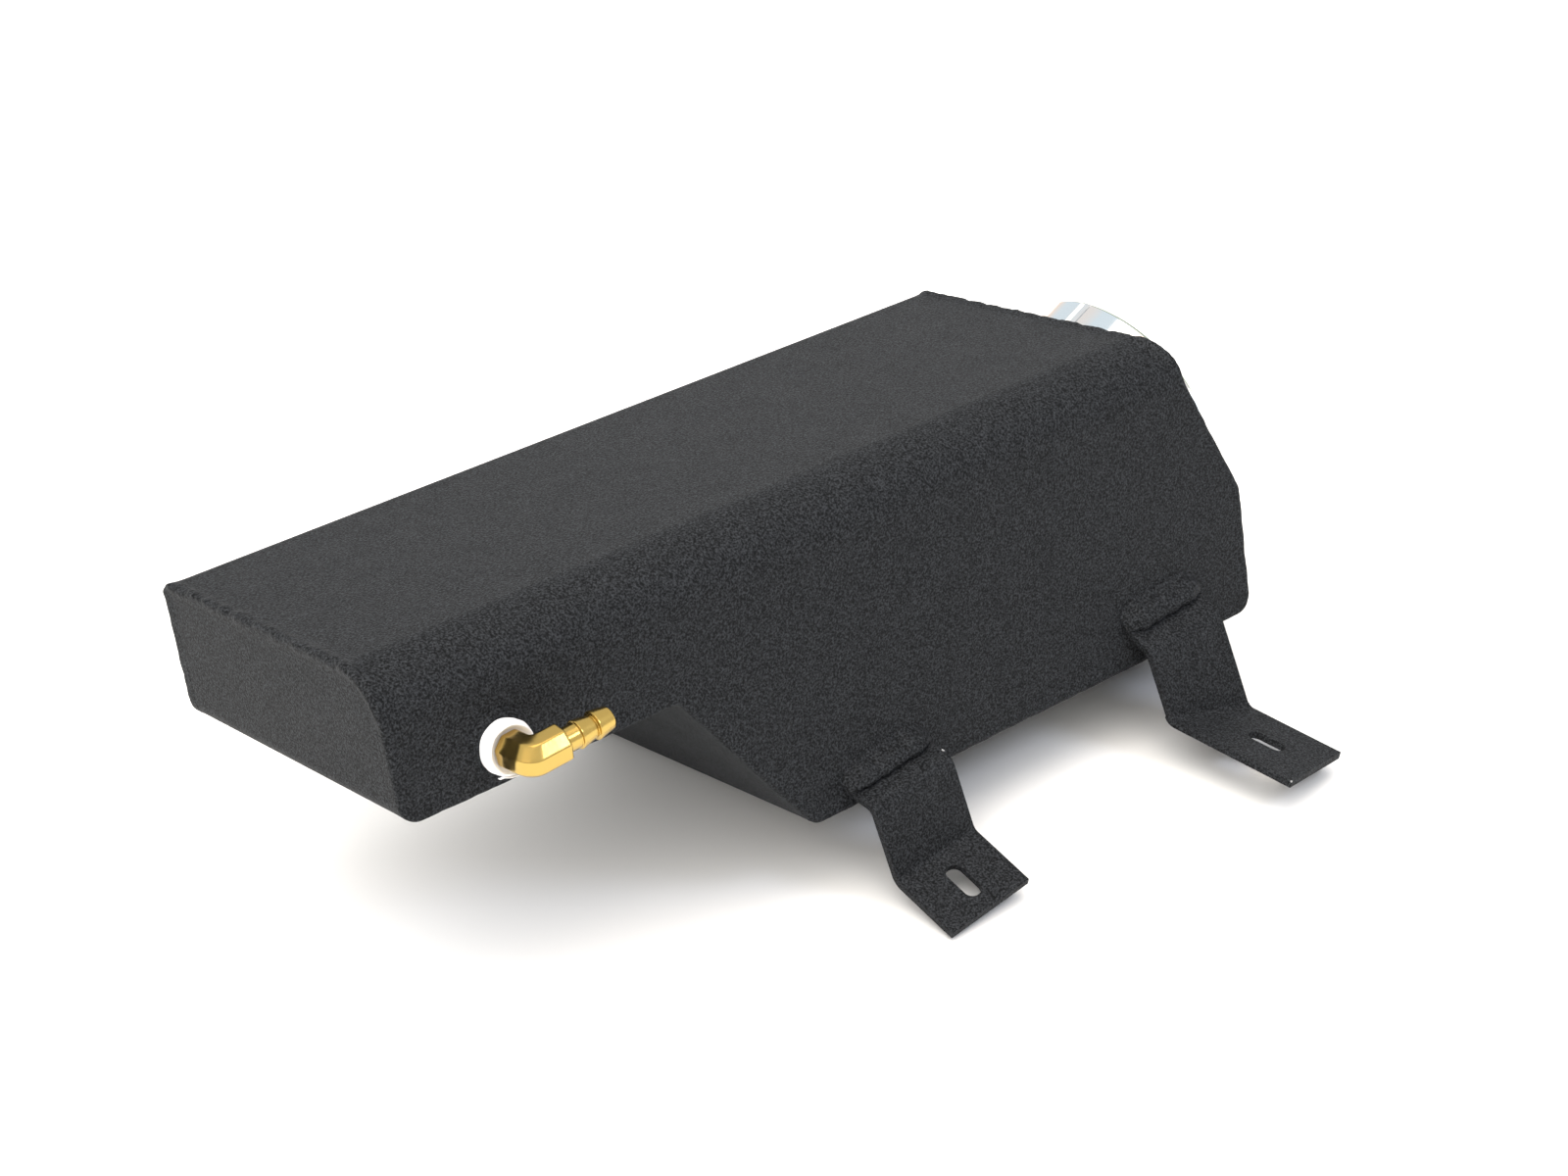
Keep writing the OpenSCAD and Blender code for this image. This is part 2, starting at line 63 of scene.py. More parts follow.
# The tank's own corner in the row frame: near plate, bracket-side wall, flat top
WRAP_LOW, WRAP_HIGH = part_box("wrap_sheet")
CORNER = np.array([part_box("belly_strip")[0].x, WRAP_LOW.y, WRAP_HIGH.z])
TANK_W = (WRAP_HIGH.y - WRAP_LOW.y) / MM
CAP_TURN = next(joint for joint in frame["joints"] if joint["name"] == "cap_turn")
CAP_AXIS, CAP_CENTRE = np.array(CAP_TURN["axis"]), np.array(CAP_TURN["pos_m"])


# Shapes

def tank(points):
    """Points in the tank's own frame, in millimetres, moved to the row frame, in metres."""
    return np.asarray(points, float) * MM + CORNER


def soft_step(t):
    """Smooth rise from 0 to 1, 3t^2 - 2t^3."""
    return t * t * (3 - 2 * t)


def full_turn(count):
    """Evenly spaced angles round a circle, the first of them 0."""
    return np.linspace(0, 2 * math.pi, count + 1)[:-1]


def grid_mesh(name, grid, close_u=False, close_v=False, cap_u=False):
    """Quads between neighbouring points of a grid of shape (u, v, 3).

    Rows join up where close_u is set and columns where close_v is set. cap_u closes the first and the last
    row with a fan to its mean point. Faces are turned so that the enclosed volume is positive.
    """
    nu, nv = grid.shape[:2]
    ids = np.arange(nu * nv).reshape(nu, nv)
    rows = ids if not close_u else np.vstack([ids, ids[:1]])
    rows = rows if not close_v else np.hstack([rows, rows[:, :1]])
    quads = np.stack([rows[:-1, :-1], rows[1:, :-1], rows[1:, 1:], rows[:-1, 1:]], -1).reshape(-1, 4)
    points = grid.reshape(-1, 3)
    faces = quads.tolist()
    if cap_u:
        centres = np.array([grid[0].mean(0), grid[-1].mean(0)])
        first, last = len(points), len(points) + 1
        points = np.vstack([points, centres])
        ring = rows[0]
        faces += np.stack([ring[:-1], ring[1:], np.full(len(ring) - 1, first)], -1).tolist()
        ring = rows[-1]
        faces += np.stack([ring[1:], ring[:-1], np.full(len(ring) - 1, last)], -1).tolist()
    mesh = bpy.data.meshes.new(name)
    mesh.from_pydata(points.tolist(), [], faces)
    turn_outwards(mesh)
    mesh.polygons.foreach_set("use_smooth", np.full(len(mesh.polygons), True))
    mesh.update()
    piece = bpy.data.objects.new(name, mesh)
    bpy.context.scene.collection.objects.link(piece)
    return piece


def turn_outwards(mesh):
    """Flips every face if the volume that they enclose, the sum of origin tetrahedra, comes out negative."""
    mesh.calc_loop_triangles()
    corners = np.empty(len(mesh.loop_triangles) * 3, np.int32)
    mesh.loop_triangles.foreach_get("vertices", corners)
    co = np.empty(len(mesh.vertices) * 3)
    mesh.vertices.foreach_get("co", co)
    co = co.reshape(-1, 3)
    co = co - co.mean(0)
    a, b, c = co[corners.reshape(-1, 3)].transpose(1, 0, 2)
    if (a * np.cross(b, c)).sum() < 0:
        mesh.flip_normals()


def mesh_of(name, parts):
    """One object from several grids in the tank's own frame, each given with the options of its closing."""
    made = [grid_mesh(f"{name}_{i}", tank(grid), **how) for i, (grid, how) in enumerate(parts)]
    with bpy.context.temp_override(active_object=made[0], selected_editable_objects=made):
        bpy.ops.object.join()
    made[0].name = made[0].data.name = name
    return made[0]


def bent_line(corners, radii, step, side):
    """Points and outward normals of a line whose corners are rounded, in its own plane.

    A straight runs between the tangent points of its two arcs, and is one point where they meet. On an arc
    the heading turns evenly, and the point is the arc's centre less the radius times the left normal. side is
    1 where outwards is to the left, -1 to the right.
    """
    nothing, fewest = 1e-6, 6
    corners = np.asarray(corners, float)
    legs = np.diff(corners, axis=0)
    lengths = np.linalg.norm(legs, axis=1)
    legs = legs / lengths[:, None]
    heading = np.arctan2(legs[:, 1], legs[:, 0])
    turn = (np.diff(heading) + np.pi) % (2 * np.pi) - np.pi
    cut = np.concatenate([[0], np.asarray(radii) * np.tan(np.abs(turn) / 2), [0]])
    points, normals = [], []
    for i, leg in enumerate(legs):
        left = np.array([-leg[1], leg[0]])
        free = lengths[i] - cut[i] - cut[i + 1]
        run = np.linspace(cut[i], cut[i] + free, max(2, int(free / step)) if free > nothing else 1)
        points.append(corners[i] + run[:, None] * leg)
        normals.append(np.repeat(side * left[None], len(run), 0))
        if i < len(turn):
            bend = np.sign(turn[i])
            count = max(fewest, int(radii[i] * abs(turn[i]) / step))
            angle = heading[i] + turn[i] * np.linspace(0, 1, count + 2)[1:-1]
            lefts = np.stack([-np.sin(angle), np.cos(angle)], -1)
            centre = points[-1][-1] + bend * radii[i] * left
            points.append(centre - bend * radii[i] * lefts)
            normals.append(side * lefts)
    return np.vstack(points), np.vstack(normals)


def weld_swell(run, seed, shortest, longest):
    """Height of a hand-laid bead along its run, from 0 in the dips to 1 on the crests of its puddles.

    Puddle centres are drawn at uneven steps, and each is a parabola, so the dips between them are sharp.
    shortest and longest bound the steps, in millimetres.
    """
    lowest_top = 0.6
    rng = np.random.default_rng(seed)
    centres = [0.0]
    while centres[-1] < run[-1]:
        centres.append(centres[-1] + rng.uniform(shortest, longest))
    centres = np.array(centres)
    tops = rng.uniform(lowest_top, 1.0, len(centres))
    half = (longest + shortest) / 3
    swell = tops * (1 - ((run[:, None] - centres) / half) ** 2)
    return np.clip(swell.max(1), 0, 1)


# Layers of knobs on a bead, each with the run between its knots in millimetres and its share of their height
KNOB_LAYERS = ((1.5, 0.5), (3.7, 1.0))
# Steps between knots from one side of a bead to the other
KNOB_STEPS = 6


def knobs(run, share, seed, size):
    """Small lumps over a bead: layers of random heights at even knots, blended by the soft step."""
    rng = np.random.default_rng(seed)
    across = np.clip(share, 0, 0.999) * KNOB_STEPS
    j = across.astype(int)
    v = soft_step(across - j)
    total = 0
    for pitch, part in KNOB_LAYERS:
        along = (run - run[0]) / pitch
        i = along.astype(int)
        u = soft_step(along - i)[:, None]
        knots = rng.uniform(-1, 1, (i[-1] + 2, KNOB_STEPS + 1))
        rows = knots[i] * (1 - u) + knots[i + 1] * u
        total = total + part * (rows[:, j] * (1 - v) + rows[:, j + 1] * v)
    return size * total


# Height of a bead where it meets the next one, and the run over which it falls to that, in millimetres
END_HEAP, BEAD_FADE = 0.25, 8.0
# Shortest and longest puddle of a seam bead, and how far its coat stands proud of the sheets, in millimetres
PUDDLE, BEAD_PROUD = (8, 15), 0.06
# Norm that rounds a bead's corner, and the share of its radius where it dips under the sheets at either side
CORNER_NORM, TUCKED = 7.0, 0.96


def bead_grid(edge, one, other, reach, seed, heap, lump, bulge):
    """Surface of a weld bead along an outside corner, in millimetres.

    one and other are the outward normals of the two sheets at each point of the sharp edge. The section is
    drawn about the point that lies reach below both sheets. It follows both sheets and rounds the corner
    between them by the 7-norm of the cosines to the two normals. The weld's heap stands on that by the fourth
    power of the sine across the section, rises and falls with its puddles between the two heights of heap,
    has knobs of the height lump, and fades to one low height at both ends, where it meets the next bead.
    bulge is None, or adds one smooth heap, given as its place along the run, its half width and its height.
    """
    edge, one, other = (np.asarray(v, float) for v in (edge, one, other))
    dot = (one * other).sum(1)
    centre = edge - reach * (one + other) / (1 + dot)[:, None]
    spread = np.arccos(dot)[:, None]
    run = np.concatenate([[0], np.cumsum(np.linalg.norm(np.diff(edge, axis=0), axis=1))])
    high = heap[0] + (heap[1] - heap[0]) * weld_swell(run, seed, *PUDDLE)
    if bulge:
        high = high + bulge[2] * np.exp(-((run - bulge[0]) / bulge[1]) ** 2)
    ends = soft_step(np.clip(np.minimum(run, run[-1] - run) / BEAD_FADE, 0, 1))
    high = END_HEAP + (high - END_HEAP) * ends
    share = np.linspace(-0.04, 1.04, 27)
    angle = share * spread
    ways = np.sin(spread - angle)[..., None] * one[:, None] + np.sin(angle)[..., None] * other[:, None]
    ways /= np.sin(spread)[..., None]
    power = np.abs(np.cos(angle)) ** CORNER_NORM + np.abs(np.cos(spread - angle)) ** CORNER_NORM
    corner = power ** (-1 / CORNER_NORM)
    sunk = np.where((share < 0) | (share > 1), TUCKED, 1.0)
    lift = np.sin(np.pi * np.clip(share, 0, 1)) ** 4
    rough = knobs(run, share, seed + 100, lump) * ends[:, None]
    radius = (reach * corner + BEAD_PROUD) * sunk + (high[:, None] + rough) * lift
    arc = centre[:, None] + radius[..., None] * ways
    return np.concatenate([arc, centre[:, None]], 1)


def lathe(profile, angles, radius_of=None):
    """Rows of a profile of (radius, height) turned about the z axis.

    radius_of may cut the radius at each angle.
    """
    profile = np.asarray(profile, float)
    radius = np.repeat(profile[:, :1], len(angles), 1)
    if radius_of is not None:
        radius = radius_of(radius, angles)
    height = np.repeat(profile[:, 1:], len(angles), 1)
    return np.stack([radius * np.cos(angles), radius * np.sin(angles), height], -1)


def eased(profile, ease):
    """A profile whose corners are rounded by a quadratic curve that starts ease short of each corner.

    The curve point is the corner's two neighbours on the legs and the corner itself, weighted (1-t)^2, t^2
    and 2t(1-t). A guard point on each leg, at 1.7 times ease, keeps the smooth shading of the round off the
    flat. Neither goes as far as the middle of a short leg.
    """
    profile = np.asarray(profile, float)
    out = []
    for i, corner in enumerate(profile):
        to = [profile[i - 1] - corner, profile[(i + 1) % len(profile)] - corner]
        shares = [ease / np.linalg.norm(v) for v in to]
        ends = [corner + v * min(share, 0.45) for v, share in zip(to, shares)]
        guards = [corner + v * min(1.7 * share, 0.48) for v, share in zip(to, shares)]
        arc = [(1 - t) ** 2 * ends[0] + 2 * t * (1 - t) * corner + t * t * ends[1]
               for t in (0, 0.25, 0.5, 0.75, 1)]
        out += [guards[0], *arc, guards[1]]
    return np.array(out)


def placed(grid, at, x, y, z):
    """A grid in a local frame, moved to the tank's own frame. at is its origin, x, y and z its directions."""
    return np.asarray(at) + np.asarray(grid) @ np.array([x, y, z], float)


def dress(piece, body, slot, material, *nodes):
    """Rides a new piece on its body, in place of the CAD nodes that it stands for."""
    piece.data.materials.append(material)
    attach(piece, body)
    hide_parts(*nodes)


def dress_coated(name, grid, node, **how):
    """One coated piece of the tank's own body, closed across its rows, in place of one CAD node."""
    dress(grid_mesh(name, tank(grid), close_v=True, **how), "tank", "coat", cached(powder_coat), node)


# Finishes

def lin(colour):
    """Linear red, green, blue and alpha of an sRGB hex colour."""
    parts = [int(colour[i:i + 2], 16) / 255 for i in (1, 3, 5)]
    return tuple(c / 12.92 if c <= 0.04045 else ((c + 0.055) / 1.055) ** 2.4 for c in parts) + (1.0,)


def add(tree, kind, links=None, **settings):
    """Adds a node. A setting is an input's value, or the node's own property if it has no such input.

    links gives inputs by name or number, each as another node's output or as a value.
    """
    made = tree.nodes.new(kind)
    for key, value in settings.items():
        label = key.replace("_", " ").title()
        if label in made.inputs:
            made.inputs[label].default_value = value
        elif key in made.bl_rna.properties:
            setattr(made, key, value)
        else:
            raise KeyError(f"{kind} has no {key}")
    for socket, source in (links or {}).items():
        if isinstance(source, bpy.types.NodeSocket):
            tree.links.new(source, made.inputs[socket])
        else:
            made.inputs[socket].default_value = source
    return made


def finish_of(name, **shader):
    """A new material with one Principled shader, its constant values set on its own sockets."""
    material = bpy.data.materials.new(name)
    material.use_nodes = True
    tree = material.node_tree
    bsdf = tree.nodes["Principled BSDF"]
    for key, value in shader.items():
        bsdf.inputs[key.replace("_", " ").title().replace("Ior", "IOR")].default_value = value
    return material, tree, bsdf


def two_tones(tree, noise, first, last, start=0.0, stop=1.0):
    """Colour that goes from the first hex colour to the last as a noise goes from start to stop."""
    tones = add(tree, "ShaderNodeValToRGB", {"Fac": noise.outputs["Fac"]})
    ends = tones.color_ramp.elements
    ends[0].position, ends[1].position = start, stop
    ends[0].color, ends[1].color = lin(first), lin(last)
    return tones.outputs["Color"]


def roughen(tree, bsdf, noise, least, most):
    """Varies a shader's roughness between two values by a noise."""
    level = add(tree, "ShaderNodeMapRange", {"Value": noise.outputs["Fac"]}, to_min=least, to_max=most)
    tree.links.new(level.outputs["Result"], bsdf.inputs["Roughness"])


def raise_grain(tree, bsdf, noise, strength, distance):
    """Raises fine relief on a shader's surface by a noise, whose full height is a distance in metres."""
    bump = add(tree, "ShaderNodeBump", {"Height": noise.outputs["Fac"]}, strength=strength, distance=distance)
    tree.links.new(bump.outputs["Normal"], bsdf.inputs["Normal"])


# Chips in the coat, each a place in the row's frame and a radius, in metres
CHIPS = (((0.01266, 0.01649, 0.04284), 0.0011), ((0.1241, -0.04024, 0.0002), 0.001))
# Share of a chip's radius inside which the metal is fully bare
CHIP_SHARP = 0.8


def powder_coat():
    """Aluminium under a fine wrinkle polyester powder coat, sprayed and oven cured.

    It gives the eye a soft dark grey with a fine grain, its lumps about three quarters of a millimetre
    across, and two small bright chips on the straps where the metal shows. A wider noise varies the sheen and
    frays the chips.
    """
    material, tree, bsdf = finish_of("wrinkle_powder_coat", specular_ior_level=0.05)
    where = add(tree, "ShaderNodeTexCoord").outputs["Object"]
    # The noise is even on every plate only when its lattice lies square to none of them
    turned = add(tree, "ShaderNodeVectorRotate", {"Vector": where}, rotation_type="EULER_XYZ",
                 rotation=(0.6, 0.4, 0.9)).outputs["Vector"]
    grain = add(tree, "ShaderNodeTexNoise", {"Vector": turned}, scale=1350.0, detail=2.0, roughness=0.6)
    cloud = add(tree, "ShaderNodeTexNoise", {"Vector": where}, scale=60.0, detail=2.0)
    bare = 0.0
    for at, size in CHIPS:
        away = add(tree, "ShaderNodeVectorMath", {0: where, 1: at}, operation="DISTANCE").outputs["Value"]
        ragged = add(tree, "ShaderNodeMath", {0: cloud.outputs["Fac"], 1: away, 2: away},
                     operation="MULTIPLY_ADD")
        chip = add(tree, "ShaderNodeMapRange", {"Value": ragged.outputs[0]}, from_min=size * CHIP_SHARP,
                   from_max=size, to_min=1.0, to_max=0.0).outputs["Result"]
        bare = add(tree, "ShaderNodeMath", {0: bare, 1: chip}, operation="MAXIMUM").outputs[0]
    tone = two_tones(tree, grain, "#131415", "#383a3d", 0.4, 0.67)
    coat = add(tree, "ShaderNodeMix", {0: bare, 6: tone, 7: lin("#a6a7a8")}, data_type="RGBA")
    tree.links.new(coat.outputs[2], bsdf.inputs["Base Color"])
    roughen(tree, bsdf, cloud, 0.5, 0.6)
    raise_grain(tree, bsdf, grain, 0.45, 0.0004)
    return material


# Sums of radius and height above the sloping face where the cap's chamfer starts and is full, in metres
CHAMFER_FROM, CHAMFER_FULL = 0.0533, 0.0536
# Radii where the cap's end face passes into its rim, in metres
FACE_TO, RIM_FROM = 0.0374, 0.0378


def polished_billet():
    """Aluminium bar, turned and buffed: near-white mirror metal with fine lathe rings about the cap's axis.

    Round the rim, a painted reflection turns from warm to cool with the direction about the axis. The end face
    is a plain silver grey that varies from ring to ring. The chamfer is a darker grey-green. It is where radius
    and height add up to its constant sum.
    """
    material, tree, bsdf = finish_of("polished_aluminium_billet", metallic=1.0)
    where = add(tree, "ShaderNodeTexCoord").outputs["Object"]
    arm = add(tree, "ShaderNodeVectorMath", {0: where, 1: CAP_CENTRE}, operation="SUBTRACT").outputs[0]
    across = add(tree, "ShaderNodeVectorMath", {0: arm, 1: CAP_AXIS}, operation="CROSS_PRODUCT").outputs[0]
    radius = add(tree, "ShaderNodeVectorMath", {0: across}, operation="LENGTH").outputs["Value"]
    height = add(tree, "ShaderNodeVectorMath", {0: arm, 1: CAP_AXIS},
                 operation="DOT_PRODUCT").outputs["Value"]
    way = add(tree, "ShaderNodeVectorMath", {0: across}, operation="NORMALIZE").outputs[0]
    # Painted reflection: warm and cool panels round the rim, set by the direction about the cap's axis
    reflection_noise = add(tree, "ShaderNodeTexNoise", {"Vector": way}, scale=1.6, detail=1.0)
    painted_reflection = two_tones(tree, reflection_noise, "#ecd9cb", "#d3dfe6", 0.42, 0.58)
    ring = add(tree, "ShaderNodeTexNoise", {"W": radius}, noise_dimensions="1D", scale=1500.0, detail=2.0)
    silver = two_tones(tree, ring, "#b9bab9", "#dddedc")
    rim = add(tree, "ShaderNodeMapRange", {"Value": radius}, from_min=FACE_TO, from_max=RIM_FROM)
    silver_and_reflection = add(tree, "ShaderNodeMix", {0: rim.outputs["Result"], 6: silver, 7: painted_reflection}, data_type="RGBA")
    corner = add(tree, "ShaderNodeMath", {0: radius, 1: height}, operation="ADD").outputs[0]
    edge = add(tree, "ShaderNodeMapRange", {"Value": corner}, from_min=CHAMFER_FROM, from_max=CHAMFER_FULL)
    tone = add(tree, "ShaderNodeMix", {0: edge.outputs["Result"], 6: silver_and_reflection.outputs[2], 7: lin("#a9b3a2")},
               data_type="RGBA")
    tree.links.new(tone.outputs[2], bsdf.inputs["Base Color"])
    roughen(tree, bsdf, ring, 0.06, 0.13)
    raise_grain(tree, bsdf, ring, 0.04, 0.0001)
    return material


def brass():
    """Free-cutting brass, forged and turned: warm gold, bright, with faint waviness of the forging die."""
    material, tree, bsdf = finish_of("forged_brass", metallic=1.0, base_color=lin("#bda058"))
    where = add(tree, "ShaderNodeTexCoord").outputs["Object"]
    wave = add(tree, "ShaderNodeTexNoise", {"Vector": where}, scale=350.0, detail=2.0)
    roughen(tree, bsdf, wave, 0.16, 0.3)
    raise_grain(tree, bsdf, wave, 0.12, 0.0003)
    return material


def thread_tape():
    """Thin white PTFE film, wound and bunched: soft white, a little waxy, creased along its turns."""
    material, tree, bsdf = finish_of("ptfe_thread_tape", roughness=0.45, base_color=lin("#f4f4f6"),
                                     subsurface_weight=0.2, subsurface_radius=(0.002, 0.002, 0.002))
    where = add(tree, "ShaderNodeTexCoord").outputs["Object"]
    crease = add(tree, "ShaderNodeTexNoise", {"Vector": where}, scale=700.0, detail=2.0)
    raise_grain(tree, bsdf, crease, 0.25, 0.0003)
    return material


def gasket_rubber():
    """Moulded nitrile rubber: matt black, with the fine grain of its mould."""
    material, tree, bsdf = finish_of("nitrile_rubber", roughness=0.7, base_color=lin("#1a1a1b"))
    where = add(tree, "ShaderNodeTexCoord").outputs["Object"]
    skin = add(tree, "ShaderNodeTexNoise", {"Vector": where}, scale=900.0)
    raise_grain(tree, bsdf, skin, 0.1, 0.0001)
    return material


def paper_floor():
    """White sweep paper, plain white where nothing shades it.

    Its back is clear, so a view from below sees past it.
    """
    material, tree, bsdf = finish_of("sweep_paper", roughness=1.0, specular_ior_level=0.0,
                                     base_color=lin("#f9f9f8"))
    back = add(tree, "ShaderNodeNewGeometry").outputs["Backfacing"]
    clear = add(tree, "ShaderNodeBsdfTransparent")
    both = add(tree, "ShaderNodeMixShader", {0: back, 1: bsdf.outputs[0], 2: clear.outputs[0]})
    tree.links.new(both.outputs[0], tree.nodes["Material Output"].inputs["Surface"])
    return material


def cached(maker):
    """The one material that a maker function makes, made on first use."""
    if maker.__name__ not in cached.made:
        cached.made[maker.__name__] = maker()
    return cached.made[maker.__name__]


cached.made = {}


# Settings

class TankSettings(bpy.types.PropertyGroup):
    """Sizes of the pieces that are modelled over the frame"""

    bead_reach: FloatProperty(
        name="Bead reach", description="How far a seam bead runs out on each sheet from the corner",
        default=5.6 * MM, unit="LENGTH")
    bead_heap: FloatProperty(
        name="Bead heap", description="Height of a bead's crests past the sharp corner",
        default=0.85 * MM, unit="LENGTH")
    elbow_round: FloatProperty(
        name="Elbow round", description="Radius of the forged elbow's outer corner",
        default=7.0 * MM, unit="LENGTH")
    seed: IntProperty(name="Seed", description="Start of the random draws for weld puddles", default=7, min=0)


class TankStage(bpy.types.PropertyGroup):
    """Camera and floor of the photograph"""

    lens: FloatProperty(
        name="Lens", description="Focal length on a 36 mm sensor", default=69.592, unit="CAMERA")
    camera_at: FloatVectorProperty(
        name="Camera", description="Where the camera stands, from the tank's own corner",
        default=(-0.382364, -0.767168, 0.355493), subtype="TRANSLATION", size=3)
    floor_lean: FloatProperty(
        name="Floor lean", description="Roll of the floor under the tank, which lies on one edge and a foot",
        default=math.atan(0.238), subtype="ANGLE")


# The tank's outline, in its own frame in millimetres: length of the top, run and drop of the sloping face
TOP_L, FACE_L, FACE_H = 340.0, 30.5, 66.7
# Depths at the near and the far end, and where the belly's slope starts and how far it runs
SHALLOW, DEEP, SLOPE_X, SLOPE_L = 51.5, 116.8, 107.4, 46.5
# Outer radii of the wrap's two folds, and of the belly's folds that turn out and in
WIDE_FOLD, TIGHT_FOLD, FOLD_OUT, FOLD_IN = 19.7, 8.4, 7.2, 4.0
SHEET_T, STRAP_W = 3.2, 37.0
END_L = TOP_L + FACE_L
# Each bracket's root on the right wall: along and down, then its tilt and the flange's slope from upright, in
# degrees
ROOTS = {"near": (169.0, 109.2, 8.0, 76.5), "far": (304.9, 99.3, 4.3, 55.8)}
LEAN = math.atan2(FACE_L, FACE_H)
FACE_OUT = np.array([math.cos(LEAN), 0, math.sin(LEAN)])
FACE_DOWN = np.array([math.sin(LEAN), 0, -math.cos(LEAN)])
# Spacing of the points along the seams, in millimetres
SEAM_STEP, SIDE_STEP = 0.6, 0.8


# Weld beads

def near_edge():
    """Edge of the near plate and the wrap, from one fold's foot over the top to the other's."""
    corners = [[0, -WIDE_FOLD], [0, 0], [TANK_W, 0], [TANK_W, -TIGHT_FOLD]]
    line, out = bent_line(corners, [WIDE_FOLD, TIGHT_FOLD], SEAM_STEP, 1)
    level = np.zeros((len(line), 1))
    return np.hstack([level, line]), np.hstack([level, out]), np.repeat([[-1.0, 0, 0]], len(line), 0)


def far_edge():
    """Edge of the sloping face and the wrap, which the face's plane cuts out of the wrap's own line."""
    edge, out, _ = near_edge()
    line = edge[:, 1:]
    along = TOP_L - line[:, 1:] * math.tan(LEAN)
    return np.hstack([along, line]), out, np.repeat([FACE_OUT], len(line), 0)


def side_edge(y, fold):
    """Edge of the belly strip and a side wall, from the near fold's foot round the belly to the far one's."""
    share = (FACE_H - fold) / FACE_H
    corners = [[0, -fold], [0, -SHALLOW], [SLOPE_X, -SHALLOW], [SLOPE_X + SLOPE_L, -DEEP], [END_L, -DEEP],
               [END_L, -FACE_H], [END_L - FACE_L * share, -fold]]
    line, out = bent_line(corners, [FOLD_OUT, FOLD_IN, FOLD_OUT, FOLD_OUT, FOLD_OUT], SIDE_STEP, -1)
    side = np.repeat([[0, -1.0 if y == 0 else 1.0, 0]], len(line), 0)
    return np.insert(line, 1, y, axis=1), np.insert(out, 1, 0, axis=1), side


# Each seam bead's least and greatest heap, as shares of the bead heap, its high spot (place along the run,
# half width and height) if it has one, and the height of its knobs, in millimetres
BEADS = {"near": (0.5, 1.4, None, 0.44), "far": (0.6, 1.6, (17, 9, 2.2), 0.26),
         "right": (0.1, 0.5, None, 0.1), "left": (0.1, 0.4, None, 0.18)}


# A bracket's root bead, in millimetres: its legs, the radius of its arc, how far it runs past the strap, the
# run over which its ends soften, its puddles and its knobs
ROOT_LEG, ROOT_ARC, ROOT_PAST, ROOT_SOFT, ROOT_PUDDLE, ROOT_KNOBS = 7.4, 6.9, 1.2, 7, (5, 9), 0.24
# How nearly its section is an arc, from 0 for a chord to 1
ROOT_ROUND = 0.8


def root_bead_grid(x, down, tilt, slope, seed):
    """Fillet weld on top of a bracket's flange, from the wall's face round to the flange, soft at its ends.

    Its section about the flange's root is nearer an arc than a chord. It runs out thinly on the wall and
    draws in where it meets the flange, which leaves a crease there.
    """
    run = np.linspace(-ROOT_PAST, STRAP_W + ROOT_PAST, 110)
    share = np.linspace(-0.05, 1.05, 31)
    spread = math.radians(180 - slope)
    angle, half = share * spread, spread / 2
    toe = np.clip((STRAP_W / 2 + ROOT_PAST + 0.05 - np.abs(run - STRAP_W / 2)) / ROOT_SOFT, 0, 1)
    size = (0.25 + 0.75 * np.sqrt(toe)) * (0.9 + 0.2 * weld_swell(run, seed, *ROOT_PUDDLE))
    chord = ROOT_LEG * math.cos(half) / np.cos(np.clip(angle - half, -half, half))
    # A thin run-out of 1.6 mm on the wall, and a crease of 1.9 mm at the flange
    flare = 1.6 * np.exp(-(share / 0.06) ** 2) - 1.9 * np.exp(-((1 - share) / 0.13) ** 2)
    section = (1 - ROOT_ROUND) * chord + ROOT_ROUND * ROOT_ARC + flare
    radius = size[:, None] * section + knobs(run, share, seed + 1, ROOT_KNOBS)
    out, up = radius * np.sin(angle), radius * np.cos(angle)
    arc = np.stack([np.repeat(run[:, None], len(share), 1), out, up], -1)
    root = np.stack([run, 0 * run - 0.6, 0 * run - 0.3], -1)
    lean = math.radians(tilt)
    along, above = [math.cos(lean), 0, math.sin(lean)], [-math.sin(lean), 0, math.cos(lean)]
    return placed(np.concatenate([arc, root[:, None]], 1), [x, 0, -down], along, [0, -1, 0], above)


class BEAD_OT_lay(bpy.types.Operator):
    """Lays the welded beads along the near plate, the sloping face, the belly's sides and the brackets"""

    bl_idname = "tank.lay_beads"
    bl_label = "Seam beads"

    def execute(self, context):
        settings = context.scene.tank_settings
        reach, heap, seed = settings.bead_reach / MM, settings.bead_heap / MM, settings.seed
        runs = {"near": near_edge(), "far": far_edge(), "right": side_edge(0, WIDE_FOLD),
                "left": side_edge(TANK_W, TIGHT_FOLD)}
        for i, (name, run) in enumerate(runs.items()):
            low, high, bulge, lump = BEADS[name]
            grid = bead_grid(*run, reach, seed + i, (low * heap, high * heap), lump, bulge)
            dress_coated(f"{name}_seam_bead", grid, f"{name}_seam_weld", cap_u=True)
        for i, (name, place) in enumerate(ROOTS.items()):
            grid = root_bead_grid(*place, seed + 30 + i)
            dress_coated(f"{name}_root_bead", grid, f"{name}_bracket_weld", cap_u=True)
        return {"FINISHED"}


# Hose fitting

# Where the fitting's axis meets the wall, and the place and directions of the pieces turned about it
FITTING, OUT = np.array([39.4, 0, -38.2]), np.array([0, -1.0, 0])
ON_WALL = (FITTING, [1, 0, 0], [0, 0, 1], OUT)
# How far the bung and the tape stand out of the wall, and where the elbow's body starts, in millimetres
BUNG_OUT, TAPE_OUT, BODY_IN = 1.5, 6.3, 5.8
# The bung's outer radius and the tape's
BUNG_R, TAPE_R = 11.2, 9.15
# The elbow: how far out its second leg lies, that leg's length, the width across flats and the bore's radius
ELBOW_OUT, ELBOW_LEG, ELBOW_AF, ELBOW_BORE = 17.3, 11.6, 12.6, 2.8
